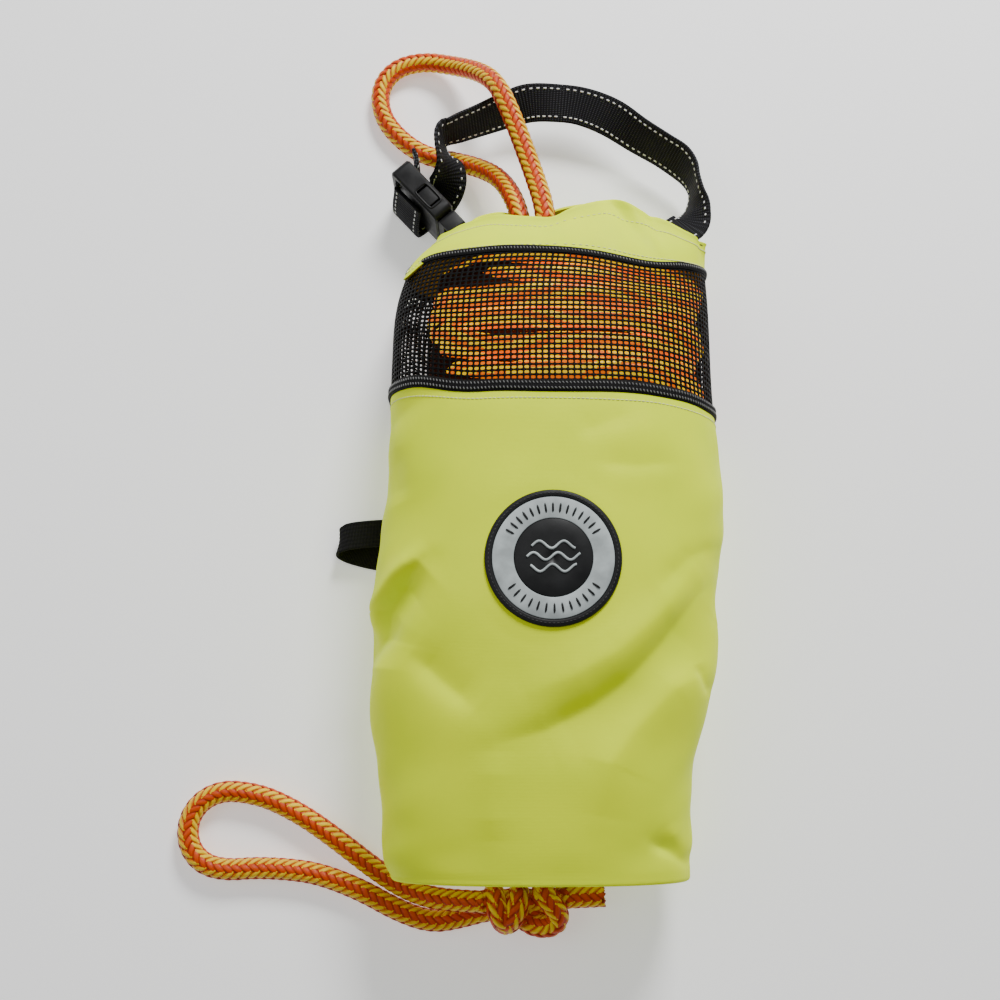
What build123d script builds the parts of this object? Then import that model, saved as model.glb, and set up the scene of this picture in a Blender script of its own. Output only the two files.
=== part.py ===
"""Throw rope bag, lying on its back: a stuffed fabric bag with a mesh window, a floating rope with a
loop at each end, and a webbing handle that opens with a side-release buckle.

Frame: millimetres, +Z up, the bag rests on Z = 0, +Y points from the bottom to the mouth, and the
origin is the centre of the flat back that the bag rests on.
"""

from build123d import *
import math
import os

os.makedirs("parts", exist_ok=True)

# ---------------------------------------------------------------- driving dimensions
wall = 2.0  # fabric and mesh, with what is sewn to them
back_flat = 0.4  # depth cut off the underside, so that the back rests on one plane
rope_d = 10.0
strap_w = 19.0
strap_t = 1.8
contact_gap = 0.3  # between soft pieces of different bodies

# Sections of the stuffed bag along its length: y, centre x, centre z, width, height.
bottom_end = (-146.0, -5.0, 36.0, 132.0, 72.0)
panel_seam = (-144.0, -5.0, 36.2, 134.0, 72.4)
lower_bag = (-70.0, -4.0, 42.5, 152.0, 85.0)
middle_bag = (10.0, 1.0, 43.0, 151.0, 86.0)
window_bottom = (62.0, 1.5, 43.0, 147.0, 86.0)
window_lower_edge = (68.0, 1.8, 42.8, 146.6, 85.6)
window_upper_edge = (126.0, 5.0, 36.4, 142.0, 72.8)
window_top = (131.0, 5.5, 35.6, 141.0, 71.2)
shoulder = (145.0, 9.5, 37.0, 128.0, 56.0)
hem_seam = (152.0, 14.0, 38.0, 110.0, 44.0)
mouth = (160.0, 15.0, 38.0, 100.0, 38.0)
corner_share = 0.45  # corner radius of a section, as a share of its height

hem_wall = 5.0
hem_cord_d = 2.8
foam_t = 24.0
foam_edge_gap = 5.0
stuffing_gap = 1.0  # between the packed rope and the fabric
stuffing_end = (140.0, 10.0, 37.0, 98.0, 34.0)

grommet_x, grommet_z = -3.0, 20.0
grommet_bore_r = 6.0
grommet_flange_r = 12.5
grommet_t = 1.6
foam_hole_r = 7.0

badge_y = -14.0
badge_r = 28.5
badge_t = 1.8
badge_edge_r = 0.5
badge_ring_r = 25.5
badge_disc_r = 16.0
badge_inlay = 0.7
inlay_gap = 0.05
wave_l = 18.0
wave_w = 1.8
wave_pitch = 4.5
wave_rise = 0.5

# Side-release buckle. It stands on its edge, with its length in the XY plane.
buckle_mouth = (-49.0, 165.0, 17.0)
buckle_along = (0.67, -0.742, 0.0)  # from the female half to the male half
buckle_w = 28.0
buckle_t = 11.0
buckle_wall = 2.5
strap_slot_l = 3.6
strap_slot_w = 21.0
female_l = 34.0
female_bar_l = 3.2  # past the strap slot
cavity_l = 22.0
male_l = 11.0
male_w = 25.0
male_t = 9.6
male_bar_l = 2.6  # past the strap slot
tongue_l = 14.0
tongue_w = 4.4
tongue_t = 4.6
prong_l = 16.0
prong_w = 6.4
prong_t = 2.4
prong_gap = 0.3  # between a prong and the wall beside it
pad_gap = 0.2  # between a prong's pad and the outside of the buckle
window_near = -17.5
window_far = -6.5
window_gap = 1.0  # between a pad and each end of its window

belt_loop_w = 13.0
belt_loop_t = 1.6

# ---------------------------------------------------------------- shared helpers


def section_plane(station):
    """Plane across the bag at a station, with its own x along X and its own y along Z."""
    y, centre_x, centre_z, _, _ = station
    return Plane(origin=(centre_x, y, centre_z - back_flat), x_dir=(1, 0, 0), z_dir=(0, -1, 0))


def section_size(station, inset=0.0):
    """Width, height and corner radius of the section, drawn in by inset."""
    _, _, _, width, height = station
    return width - 2 * inset, height - 2 * inset, corner_share * height - inset


def bag_ring(stations, thickness):
    """A band of the bag between its first and last station, open at both ends."""
    with BuildPart() as ring:
        for station in stations:
            with BuildSketch(section_plane(station)):
                RectangleRounded(*section_size(station))
        loft()
        for station in stations:
            with BuildSketch(section_plane(station)):
                RectangleRounded(*section_size(station, thickness))
        loft(mode=Mode.SUBTRACT)
        split(bisect_by=Plane.XY, keep=Keep.TOP)
    return ring.part


def bag_filling(bands, inset, near_y):
    """What fills the bag's bands beyond near_y, drawn in from their outside by inset."""
    with BuildPart() as filling:
        for stations in bands:
            for station in stations:
                with BuildSketch(section_plane(station)):
                    RectangleRounded(*section_size(station, inset))
            loft()
        split(bisect_by=Plane.XZ.offset(-near_y), keep=Keep.BOTTOM)
    return filling.part


def ribbon(stations, width, thickness):
    """A flat strap through stations of (centre, direction across the strap)."""
    centres = [Vector(*centre) for centre, _ in stations]
    with BuildPart() as strap:
        for index, (_, across) in enumerate(stations):
            before = centres[max(index - 1, 0)]
            after = centres[min(index + 1, len(centres) - 1)]
            along = (after - before).normalized()
            across = Vector(*across)
            across = (across - along * across.dot(along)).normalized()
            with BuildSketch(Plane(origin=centres[index], x_dir=across, z_dir=along)):
                Rectangle(width, thickness)
        loft(ruled=True)
    return strap.part


def corner_radii(route):
    """Radius of the arc at each inner point: 0.45 of the shorter run over tan(half the turn)."""
    points = [Vector(*point) for point in route]
    radii = []
    for before, here, after in zip(points, points[1:], points[2:]):
        turn = math.radians((here - before).get_angle(after - here))
        shorter = min((here - before).length, (after - here).length)
        radii.append(0.45 * shorter / math.tan(turn / 2))
    return radii


def rope_tube(route, name):
    """A rope of round section along straight runs joined by tangent arcs."""
    radii = corner_radii(route)
    with BuildPart() as tube:
        with BuildLine() as path:
            FilletPolyline(*route, radius=radii)
        rope_line = path.wire()
        with BuildSketch(Plane(origin=rope_line @ 0, z_dir=rope_line % 0)):
            Circle(rope_d / 2)
        sweep(path=rope_line)
    length = rope_line.length
    expected = math.pi * rope_d**2 / 4 * length
    print(f"{name}: length {length:.0f}, smallest radius {min(radii):.1f}, largest {max(radii):.1f}, "
          f"volume over section times length {tube.part.volume / expected:.4f}")
    return tube.part


def save(part, name):
    part.label = name
    export_step(part, f"parts/{name}.step")


# ---------------------------------------------------------------- sewn bag

bag_bands = {
    "body_shell": [panel_seam, lower_bag, middle_bag, window_bottom],
    "mesh_bottom_binding": [window_bottom, window_lower_edge],
    "mesh_band": [window_lower_edge, window_upper_edge],
    "mesh_top_binding": [window_upper_edge, window_top],
    "collar": [window_top, shoulder, hem_seam],
}
bag_parts = {name: bag_ring(stations, wall) for name, stations in bag_bands.items()}
for name, part in bag_parts.items():
    save(part, name)

with BuildPart() as bottom_panel:
    with BuildSketch(section_plane(bottom_end)):
        RectangleRounded(*section_size(bottom_end))
    extrude(amount=-(panel_seam[0] - bottom_end[0]))
    split(bisect_by=Plane.XY, keep=Keep.TOP)
    grommet_plane = Plane(origin=(grommet_x, bottom_end[0], grommet_z), x_dir=(1, 0, 0), z_dir=(0, -1, 0))
    with BuildSketch(grommet_plane):
        Circle(grommet_bore_r + grommet_t)
    extrude(amount=-wall, mode=Mode.SUBTRACT)
save(bottom_panel.part, "bottom_panel")

# The hem is a double wall with a channel for its cord.
hem_middle = tuple((a + b) / 2 for a, b in zip(hem_seam, mouth))
with BuildSketch(section_plane(hem_middle)) as channel_outline:
    RectangleRounded(*section_size(hem_middle, hem_wall / 2))
channel = channel_outline.sketch.face().outer_wire()
channel_start = Plane(origin=channel @ 0, z_dir=channel % 0)

with BuildPart() as collar_hem:
    add(bag_ring([hem_seam, mouth], hem_wall))
    with BuildSketch(channel_start):
        Circle(hem_cord_d / 2 + contact_gap)
    sweep(path=channel, mode=Mode.SUBTRACT)
save(collar_hem.part, "collar_hem")

with BuildPart() as hem_cord:
    with BuildSketch(channel_start):
        Circle(hem_cord_d / 2)
    sweep(path=channel)
save(hem_cord.part, "hem_cord")

# ---------------------------------------------------------------- bottom grommet and foam

with BuildPart() as bottom_grommet:
    with BuildSketch(grommet_plane):
        Circle(grommet_flange_r)
        Circle(grommet_bore_r, mode=Mode.SUBTRACT)
    extrude(amount=grommet_t)
    with BuildSketch(grommet_plane):
        Circle(grommet_bore_r + grommet_t - contact_gap)
        Circle(grommet_bore_r, mode=Mode.SUBTRACT)
    extrude(amount=-(wall + grommet_t))
    fillet(bottom_grommet.edges().filter_by(GeomType.CIRCLE).sort_by(Axis.Y)[:1], grommet_t / 2)
save(bottom_grommet.part, "bottom_grommet")

with BuildPart() as grommet_washer:
    with BuildSketch(grommet_plane.offset(-wall)):
        Circle(grommet_flange_r)
        Circle(grommet_bore_r + grommet_t - contact_gap, mode=Mode.SUBTRACT)
    extrude(amount=-grommet_t)
save(grommet_washer.part, "grommet_washer")

foam_near_y = panel_seam[0] + grommet_t + contact_gap
foam_station = (foam_near_y, panel_seam[1], panel_seam[2] + back_flat, panel_seam[3], panel_seam[4])
with BuildPart() as flotation_foam:
    with BuildSketch(section_plane(foam_station)):
        RectangleRounded(*section_size(foam_station, foam_edge_gap))
    extrude(amount=-foam_t)
    with BuildSketch(grommet_plane):
        Circle(foam_hole_r)
    extrude(amount=-(foam_t + wall + grommet_t + foam_edge_gap), mode=Mode.SUBTRACT)
save(flotation_foam.part, "flotation_foam")

# ---------------------------------------------------------------- rope

stuffing_near_y = foam_near_y + foam_t + contact_gap
stuffing_inset = wall + stuffing_gap
stuffing_far = tuple(
    value + (2 * stuffing_inset if index >= 3 else 0) for index, value in enumerate(stuffing_end)
)
stuffed_bands = [
    bag_bands["body_shell"],
    bag_bands["mesh_bottom_binding"],
    bag_bands["mesh_band"],
    [window_upper_edge, stuffing_far],
]
rope_stuffing = bag_filling(stuffed_bands, stuffing_inset, stuffing_near_y)
save(rope_stuffing, "rope_stuffing")

top_loop_route = [
    (1, 140, 42),
    (0, 159, 44),
    (-5, 180, 38),
    (-12, 202, 36.5),
    (-18, 219, 36),
    (-24, 233, 34.5),
    (-33, 246, 23),
    (-46, 257, 10),
    (-62, 262, 6),
    (-77, 258, 5.6),
    (-85, 246, 5.4),
    (-83, 230, 5.6),
    (-73, 217, 5.4),
    (-60, 208, 5.6),
    (-45, 205, 6),
    (-31, 198, 12),
    (-21, 187, 22),
    (-14, 170, 31),
    (-11, 154, 33),
    (-10.5, 140, 31),
]
save(rope_tube(top_loop_route, "rope_top_loop"), "rope_top_loop")

knot_centre = (-8.0, -161.0, 13.2)
knot_size = (42.0, 20.0, 25.0)
knot_side_r = 8.0
knot_end_r = 4.0
with BuildPart(Location(knot_centre)) as rope_bottom_knot:
    Box(*knot_size)
    fillet(rope_bottom_knot.edges().filter_by(Axis.X), knot_side_r)
    fillet(rope_bottom_knot.edges().filter_by(GeomType.LINE, reverse=True), knot_end_r)
save(rope_bottom_knot.part, "rope_bottom_knot")

lead_plane = Plane(origin=(grommet_x, stuffing_near_y, grommet_z), x_dir=(1, 0, 0), z_dir=(0, -1, 0))
with BuildPart() as rope_bottom_lead:
    with BuildSketch(lead_plane):
        Circle(rope_d / 2)
    extrude(until=Until.NEXT, target=rope_bottom_knot.part)
save(rope_bottom_lead.part, "rope_bottom_lead")

bottom_loop_route = [
    (-29, -157, 17),
    (-45, -157, 14),
    (-61, -154, 8),
    (-76, -146, 5.6),
    (-95, -132, 5.4),
    (-111, -121, 5.6),
    (-127, -113, 5.4),
    (-139, -110, 5.6),
    (-150, -109.5, 5.4),
    (-159.5, -114, 5.6),
    (-165, -123, 5.4),
    (-164, -134, 5.6),
    (-157, -142, 5.4),
    (-146, -144.5, 5.6),
    (-134, -143.5, 5.4),
    (-119, -144, 5.6),
    (-104, -146, 5.6),
    (-85, -153, 5.4),
    (-68, -162, 5.6),
    (-53, -167, 5.4),
    (-40, -165, 5.6),
    (-29, -162, 5.8),
]
save(rope_tube(bottom_loop_route, "rope_bottom_loop"), "rope_bottom_loop")

tail_l = 11.0
tail_end_r = 0.8
tail_start = (knot_centre[0] + knot_size[0] / 2, -158.0, 13.0)
with BuildPart() as rope_tail:
    with BuildSketch(Plane(origin=tail_start, x_dir=(0, 1, 0), z_dir=(1, 0, 0))):
        Circle(rope_d / 2)
    extrude(amount=tail_l)
    fillet(rope_tail.faces().sort_by(Axis.X)[-1].edges(), tail_end_r)
save(rope_tail.part, "rope_tail")

# ---------------------------------------------------------------- badge on the front

front_z = bag_parts["body_shell"].bounding_box().max.Z
badge_plane = Plane(origin=(0, badge_y, front_z))
with BuildPart() as badge_base:
    with BuildSketch(badge_plane):
        Circle(badge_r)
    extrude(amount=badge_t)
    with BuildSketch(badge_plane.offset(badge_t)):
        Circle(badge_ring_r)
    extrude(amount=-badge_inlay, mode=Mode.SUBTRACT)
    top_edges = badge_base.edges().filter_by(GeomType.CIRCLE).group_by(Axis.Z)[-1]
    fillet(top_edges.sort_by(SortBy.RADIUS)[-1], badge_edge_r)
save(badge_base.part, "badge_base")

with BuildPart() as badge_ring:
    with BuildSketch(badge_plane.offset(badge_t - badge_inlay)):
        Circle(badge_ring_r - inlay_gap)
        Circle(badge_disc_r, mode=Mode.SUBTRACT)
    extrude(amount=badge_inlay)
save(badge_ring.part, "badge_ring")

with BuildPart() as badge_emblem:
    with BuildSketch(badge_plane.offset(badge_t - badge_inlay)):
        Circle(badge_disc_r - inlay_gap)
    extrude(amount=badge_inlay)
    with BuildSketch(badge_plane.offset(badge_t)):
        with GridLocations(0, wave_pitch, 1, 3):
            SlotOverall(wave_l, wave_w)
    extrude(amount=wave_rise)
save(badge_emblem.part, "badge_emblem")

# ---------------------------------------------------------------- handle webbing

handle_stations = [
    ((72.5, 160.6, 27), (0.80, -0.38, 0.46)),
    ((74, 167, 24), (0.50, -0.32, 0.81)),
    ((75, 175, 21), (0.20, -0.20, 0.96)),
    ((75, 184, 20), (0.12, 0.05, 0.99)),
    ((73, 192, 19), (0.17, 0.34, 0.92)),
    ((68, 199, 18), (0.19, 0.55, 0.81)),
    ((60, 205, 18), (0.15, 0.54, 0.83)),
    ((48, 213, 18), (0.26, 0.60, 0.76)),
    ((34, 223, 18), (0.30, 0.80, 0.50)),
    ((20, 229, 18), (0.22, 0.92, 0.32)),
    ((7, 231, 18), (0.08, 0.95, 0.30)),
    ((-7, 231, 18), (0.00, 0.88, 0.47)),
    ((-19, 227, 18), (-0.10, 0.66, 0.74)),
    ((-32, 221, 19), (-0.15, 0.40, 0.90)),
    ((-43, 216, 20), (-0.12, 0.28, 0.95)),
    ((-49, 213, 21), (-0.10, 0.12, 0.99)),
    ((-51.5, 209, 23), (-0.20, -0.10, 0.97)),
    ((-51, 203, 23), (-0.30, -0.10, 0.95)),
    ((-49, 197, 21), (-0.50, 0.05, 0.86)),
    ((-48.2, 192, 16), (-0.68, 0.30, 0.66)),
    ((-49, 188.5, 10.5), (-0.72, 0.55, 0.42)),
    ((-51.2, 186.5, 5.0), (-0.70, 0.66, 0.25)),
    ((-53.4, 184.5, 2.2), (-0.67, 0.742, 0)),
]
save(ribbon(handle_stations, strap_w, strap_t), "handle_strap")

right_tab_stations = [
    ((73.6, 159.0, 26.8), (0.75, -0.36, 0.56)),
    ((76.5, 152, 26), (0.25, -0.1, 0.96)),
    ((77.5, 141, 26), (0, 0, 1)),
]
save(ribbon(right_tab_stations, strap_w, strap_t), "right_anchor_tab")

left_strap_stations = [
    ((-43.2, 160.6, 17), (0, 0, 1)),
    ((-48.5, 155.6, 17), (0, 0, 1)),
    ((-52.5, 149.5, 17), (0, 0, 1)),
]
save(ribbon(left_strap_stations, strap_w, strap_t), "left_anchor_strap")

left_tab_stations = [
    ((-53.4, 148.6, 17), (0, 0, 1)),
    ((-61.5, 142, 18), (0, 0, 1)),
    ((-68.0, 132.5, 20), (0, 0, 1)),
]
save(ribbon(left_tab_stations, strap_w, strap_t), "left_anchor_tab")

# ---------------------------------------------------------------- side-release buckle

# Local x runs from the female half to the male half, local y through the thickness, and local z up.
buckle_plane = Plane(origin=buckle_mouth, x_dir=buckle_along, z_dir=(0, 0, 1))
half_w = buckle_w / 2
prong_z = half_w - buckle_wall - prong_gap - prong_t / 2
cavity_t = prong_w + 1.0


def buckle_box(start, end, thickness, low, high, mode=Mode.ADD):
    """A block of the buckle from start to end along it, centred in its thickness."""
    with Locations(buckle_plane.location * Location(((start + end) / 2, 0, (low + high) / 2))):
        return Box(end - start, thickness, high - low, mode=mode)


def strap_slot(start, thickness):
    """Cuts the slot for the strap, from start towards the male half."""
    half_slot = strap_slot_w / 2
    buckle_box(start, start + strap_slot_l, thickness, -half_slot, half_slot, Mode.SUBTRACT)


with BuildPart() as buckle_female:
    buckle_box(-female_l, 0, buckle_t, -half_w, half_w)
    fillet(buckle_female.edges().filter_by(lambda e: abs(e.length - buckle_t) < 0.01), 3)
    chamfer(buckle_female.edges().filter_by(lambda e: e.length > female_l - 7), 0.8)
    buckle_box(-cavity_l, 0, cavity_t, -half_w + buckle_wall, half_w - buckle_wall, Mode.SUBTRACT)
    buckle_box(window_near, window_far, cavity_t, -half_w, half_w, Mode.SUBTRACT)
    strap_slot(female_bar_l - female_l, buckle_t)
save(buckle_female.part, "buckle_female")

with BuildPart() as buckle_male_body:
    buckle_box(contact_gap, male_l, male_t, -male_w / 2, male_w / 2)
    fillet(buckle_male_body.edges().filter_by(lambda e: abs(e.length - male_t) < 0.01), 2.5)
    strap_slot(male_l - male_bar_l - strap_slot_l, male_t)
    buckle_box(-tongue_l, contact_gap, tongue_t, -tongue_w / 2, tongue_w / 2)
save(buckle_male_body.part, "buckle_male_body")

for side, prong_name in ((1, "buckle_prong_upper"), (-1, "buckle_prong_lower")):
    with BuildPart() as buckle_prong:
        inner_z = side * (prong_z - prong_t / 2)
        outer_z = side * (prong_z + prong_t / 2)
        pad_z = side * (half_w - pad_gap)
        buckle_box(-prong_l, 0, prong_w, min(inner_z, outer_z), max(inner_z, outer_z))
        pad_near, pad_far = window_near + window_gap, window_far - window_gap
        buckle_box(pad_near, pad_far, prong_w, min(inner_z, pad_z), max(inner_z, pad_z))
    save(buckle_prong.part, prong_name)


def buckle_point(along, through, height):
    """A point given along the buckle, through its thickness and above its middle."""
    return (buckle_plane.location * Location((along, through, height))).position


# The strap's end passes under the buckle, turns up its outer side, and goes through the slot to a tail.
end_side_gap = 2.2
end_floor_gap = 0.6
end_centre_s = -17.5
end_side_n = -buckle_t / 2 - end_side_gap - strap_t / 2
end_under_z = -buckle_mouth[2] + end_floor_gap + strap_t / 2
end_side_low = end_under_z - strap_t / 2
end_side_high = -strap_w / 2 + strap_t / 2
tail_path = [
    (end_centre_s + strap_w / 2, end_side_n),
    (end_centre_s - strap_w / 2 + 2, end_side_n),
    (-28.6, -6.2),
    (-29.0, -2.5),
    (-29.0, 4.5),
    (-29.8, 7.6),
    (-33.0, 10.4),
    (-38.5, 12.4),
]
up = (0, 0, 1)
with BuildPart() as handle_strap_end:
    add(ribbon([(tuple(buckle_point(s, n, 0)), up) for s, n in tail_path], strap_w, strap_t))
    with Locations(buckle_plane.location * Location((end_centre_s, 0, end_under_z))):
        Box(strap_w, -2 * end_side_n, strap_t)
    side_middle_z = (end_side_low + end_side_high) / 2
    with Locations(buckle_plane.location * Location((end_centre_s, end_side_n, side_middle_z))):
        Box(strap_w, strap_t, end_side_high - end_side_low)
save(handle_strap_end.part, "handle_strap_end")

# ---------------------------------------------------------------- belt loop on the side

belt_loop_stations = [
    ((-67.5, 9.5, 14.6), (0, 1, 0)),
    ((-80, 9.5, 13.2), (0, 1, 0)),
    ((-92, 8.5, 12.2), (0, 1, 0)),
    ((-96.5, 7.4, 10.2), (0.1, 1, 0)),
    ((-98.2, 6.0, 7.6), (0.15, 1, 0)),
    ((-96.8, 4.4, 4.8), (0.15, 1, 0)),
    ((-91, 2.2, 3.0), (0.15, 1, 0)),
    ((-78, -0.5, 2.0), (0.1, 1, 0)),
    ((-54, -3.0, 1.2), (0.1, 1, 0)),
]
save(ribbon(belt_loop_stations, belt_loop_w, belt_loop_t), "belt_loop")
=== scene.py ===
"""Throw rope bag: the looks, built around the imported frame. Millimetres are turned into metres by MM."""

import bpy
import math
import numpy as np
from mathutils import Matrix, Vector


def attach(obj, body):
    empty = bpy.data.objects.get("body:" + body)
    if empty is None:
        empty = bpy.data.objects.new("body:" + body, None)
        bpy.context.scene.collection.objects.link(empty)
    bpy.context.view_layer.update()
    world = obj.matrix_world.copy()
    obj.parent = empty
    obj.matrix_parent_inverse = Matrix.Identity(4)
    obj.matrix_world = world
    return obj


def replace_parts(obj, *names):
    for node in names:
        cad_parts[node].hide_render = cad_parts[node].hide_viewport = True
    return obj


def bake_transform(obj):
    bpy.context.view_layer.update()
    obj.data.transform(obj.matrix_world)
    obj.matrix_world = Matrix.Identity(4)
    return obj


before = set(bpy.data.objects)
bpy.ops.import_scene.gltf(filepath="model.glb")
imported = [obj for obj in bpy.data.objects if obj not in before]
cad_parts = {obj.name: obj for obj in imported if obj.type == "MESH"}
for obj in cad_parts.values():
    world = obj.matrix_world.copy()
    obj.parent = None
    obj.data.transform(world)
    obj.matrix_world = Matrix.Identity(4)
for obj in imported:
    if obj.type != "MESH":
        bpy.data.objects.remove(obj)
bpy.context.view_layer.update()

MM = 0.001
TAU = 2 * math.pi

# ------------------------------------------------------------------ curves and meshes


def smooth(stations, at):
    """A smooth curve through (position, value) stations, read at the given positions."""
    x, v = np.array(stations, float).T
    slope = np.gradient(v, x)
    at = np.clip(at, x[0], x[-1])
    i = np.clip(np.searchsorted(x, at) - 1, 0, len(x) - 2)
    h = x[i + 1] - x[i]
    t = (at - x[i]) / h
    return (
        (2 * t**3 - 3 * t**2 + 1) * v[i]
        + (t**3 - 2 * t**2 + t) * h * slope[i]
        + (3 * t**2 - 2 * t**3) * v[i + 1]
        + (t**3 - t**2) * h * slope[i + 1]
    )


def ease(value, start, end):
    """0 before start, 1 after end, smooth between."""
    t = np.clip((value - start) / (end - start), 0, 1)
    return t * t * (3 - 2 * t)


def make_mesh(name, points, faces, materials, uv=None, face_material=None, flat=False):
    """A mesh object from points in millimetres. uv holds one pair per point, also in millimetres."""
    mesh = bpy.data.meshes.new(name)
    mesh.from_pydata((np.asarray(points, float) * MM).tolist(), [], [list(map(int, f)) for f in faces])
    for material in materials:
        mesh.materials.append(material)
    if uv is not None:
        layer = mesh.uv_layers.new(name="UVMap")
        corner = np.empty(len(mesh.loops), np.int32)
        mesh.loops.foreach_get("vertex_index", corner)
        layer.data.foreach_set("uv", np.asarray(uv, np.float32)[corner].ravel())
    if face_material is not None:
        mesh.polygons.foreach_set("material_index", np.asarray(face_material, np.int32))
    mesh.polygons.foreach_set("use_smooth", np.full(len(mesh.polygons), not flat))
    mesh.update()
    piece = bpy.data.objects.new(name, mesh)
    bpy.context.scene.collection.objects.link(piece)
    return piece


def grid_faces(rows, columns, wrap_columns=False, wrap_rows=False, first=0):
    """Quads over a grid of points stored row by row."""
    i, j = np.meshgrid(
        np.arange(rows - (not wrap_rows)), np.arange(columns - (not wrap_columns)), indexing="ij"
    )
    i2, j2 = (i + 1) % rows, (j + 1) % columns
    quads = np.stack([i * columns + j, i * columns + j2, i2 * columns + j2, i2 * columns + j], -1)
    return quads.reshape(-1, 4) + first


def end_caps(rows, columns, first=0):
    """The two faces that close the ends of a tube of points stored ring by ring."""
    last = first + columns * (rows - 1)
    return [list(range(first, first + columns)), list(range(last, last + columns))[::-1]]


def apply_modifiers(piece):
    """Replace the piece's mesh by what its modifiers make of it."""
    graph = bpy.context.evaluated_depsgraph_get()
    made = bpy.data.meshes.new_from_object(piece.evaluated_get(graph))
    piece.modifiers.clear()
    piece.data = made
    return piece


def thicken(piece, thickness, offset=-1.0):
    """Give a sheet a thickness in millimetres; offset -1 keeps its outside where it is."""
    modifier = piece.modifiers.new("thickness", "SOLIDIFY")
    modifier.thickness = thickness * MM
    modifier.offset = offset
    modifier.use_even_offset = False
    return apply_modifiers(piece)


def read_line(route, step):
    """Points every step millimetres along the smooth line that a route's points control."""
    data = bpy.data.curves.new("route", "CURVE")
    data.dimensions = "3D"
    data.resolution_u = 24
    spline = data.splines.new("NURBS")
    spline.points.add(len(route) - 1)
    for point, place in zip(spline.points, route):
        point.co = (*[value * MM for value in place], 1.0)
    spline.order_u = 3
    spline.use_endpoint_u = True
    holder = bpy.data.objects.new("route", data)
    line = bpy.data.meshes.new_from_object(holder)
    points = np.array([v.co for v in line.vertices], float) / MM
    bpy.data.meshes.remove(line)
    bpy.data.objects.remove(holder)
    bpy.data.curves.remove(data)
    return resample(points, step)


def run_along(points):
    """The distance travelled along a line up to each of its points."""
    return np.r_[0, np.cumsum(np.linalg.norm(np.diff(points, axis=0), axis=1))]


def resample(points, step):
    """The same line, with points evenly spaced about step apart."""
    points = np.asarray(points, float)
    run = run_along(points)
    count = max(2, int(round(run[-1] / step)) + 1)
    at = np.linspace(0, run[-1], count)
    return np.stack([np.interp(at, run, points[:, k]) for k in range(3)], -1)


def line_length(points):
    return float(np.linalg.norm(np.diff(points, axis=0), axis=1).sum())


def unit(vectors):
    return vectors / np.maximum(np.linalg.norm(vectors, axis=-1, keepdims=True), 1e-12)


def line_frames(points, first_side=(0, 0, 1)):
    """Tangent and two side directions along a line, with no twist of their own."""
    tangent = unit(np.gradient(points, axis=0))
    side = np.zeros_like(points)
    last = np.array(first_side, float)
    for i, t in enumerate(tangent):
        last = last - t * (last @ t)
        last = last / max(np.linalg.norm(last), 1e-9)
        side[i] = last
    return tangent, side, np.cross(tangent, side)


def spokes(side, up, angle):
    """The directions at these angles round each point of a line."""
    return side[:, None] * np.cos(angle)[:, None] + up[:, None] * np.sin(angle)[:, None]


# ------------------------------------------------------------------ materials


class Shader:
    """A node material under construction: the principled shader with helpers for what feeds it."""

    def __init__(self, name, colour, roughness, **fixed):
        self.material = bpy.data.materials.new(name)
        self.material.use_nodes = True
        self.nodes = self.material.node_tree.nodes
        self.links = self.material.node_tree.links
        self.bsdf = self.nodes["Principled BSDF"]
        self.bsdf.inputs["Base Color"].default_value = (*colour, 1)
        self.bsdf.inputs["Roughness"].default_value = roughness
        for socket, value in fixed.items():
            self.bsdf.inputs[socket.replace("_", " ")].default_value = value

    def node(self, kind, inputs=None, **settings):
        node = self.nodes.new(kind)
        for key, value in settings.items():
            setattr(node, key, value)
        for key, value in (inputs or {}).items():
            if isinstance(value, bpy.types.NodeSocket):
                self.links.new(value, node.inputs[key])
            else:
                node.inputs[key].default_value = value
        return node

    def coordinates(self, kind="UV"):
        return self.node("ShaderNodeTexCoord").outputs[kind]

    def noise(self, scale, detail=3.0, vector=None, roughness=0.5):
        inputs = {"Scale": scale, "Detail": detail, "Roughness": roughness}
        inputs["Vector"] = vector or self.coordinates("Object")
        return self.node("ShaderNodeTexNoise", inputs).outputs["Fac"]

    def math(self, operation, a, b=0.5):
        return self.node("ShaderNodeMath", {0: a, 1: b}, operation=operation).outputs[0]

    def ramp(self, value, stops):
        node = self.node("ShaderNodeValToRGB", {"Fac": value})
        elements = node.color_ramp.elements
        while len(elements) < len(stops):
            elements.new(0.5)
        for element, (position, colour) in zip(elements, stops):
            element.position = position
            element.color = (*colour, 1)
        return node.outputs["Color"]

    def wave(self, axis, pitch, vector, distortion=0.0):
        """Parallel ridges a pitch (in the vector's units) apart."""
        inputs = {"Vector": vector, "Scale": TAU / 20 / pitch, "Distortion": distortion}
        return self.node(
            "ShaderNodeTexWave", inputs, wave_type="BANDS", bands_direction=axis, wave_profile="SIN"
        ).outputs["Fac"]

    def set(self, socket, value):
        self.links.new(value, self.bsdf.inputs[socket])
        return self

    def bump(self, height, distance, strength=1.0):
        inputs = {"Height": height, "Distance": distance * MM, "Strength": strength}
        previous = self.bsdf.inputs["Normal"].links
        if previous:
            inputs["Normal"] = previous[0].from_socket
        self.set("Normal", self.node("ShaderNodeBump", inputs).outputs["Normal"])
        return self


DULL = 0.10  # for cloth and tape; the shader's own default is 0.5


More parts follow.
